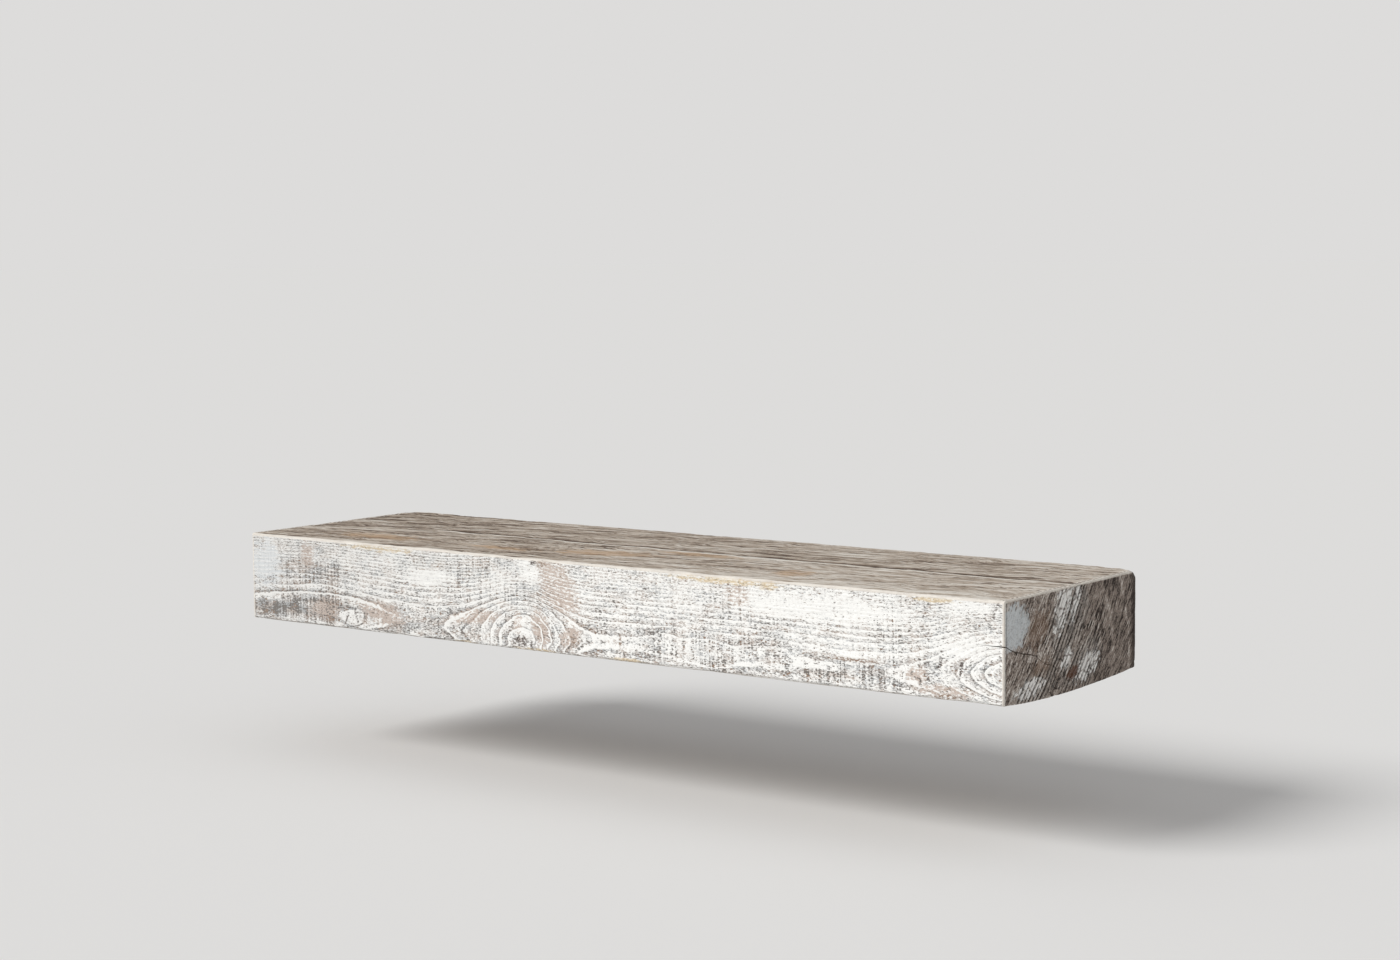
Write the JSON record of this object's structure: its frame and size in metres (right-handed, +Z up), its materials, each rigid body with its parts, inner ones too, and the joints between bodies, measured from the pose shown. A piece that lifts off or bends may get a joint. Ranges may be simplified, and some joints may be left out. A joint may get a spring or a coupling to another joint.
{
  "type": "wall shelf",
  "caption": "Thick rustic timber beam shelf, whitewashed and worn, that slides onto a hidden steel wall bracket with rods.",
  "frame": {"origin": "centre of the steel bar's wall face and of its four inner screw holes, on the wall plane, level with the support rods", "axes": "+X along the wall to the right as seen from the room, +Y into the wall, +Z up"},
  "size_m": [0.8, 0.22, 0.084],
  "materials": {
    "whitewashed_pine": "rough-sawn softwood, thin worn white paint on the front, weathered grey-brown top and dark end grain",
    "coated_bar": "satin black powder coat",
    "rod_steel": "bright drawn steel bar with turned tips",
    "black_screws": "black oxide",
    "insert_brass": "machined brass"
  },
  "bodies": {
    "bracket": {"wall_bar": "coated_bar", "support_rod_1": "rod_steel", "support_rod_2": "rod_steel", "support_rod_3": "rod_steel", "support_rod_4": "rod_steel", "rod_screw_1": "black_screws", "rod_screw_2": "black_screws", "rod_screw_3": "black_screws", "rod_screw_4": "black_screws"},
    "shelf": {"shelf_beam": "whitewashed_pine", "thread_insert_1": "insert_brass", "thread_insert_2": "insert_brass", "lock_screw_1": "black_screws", "lock_screw_2": "black_screws"}
  },
  "joints": [
    {"name": "shelf_slide", "type": "slide", "parent": "bracket", "child": "shelf", "axis": [0, -1, 0], "range_m": [0, 0.16]}
  ]
}
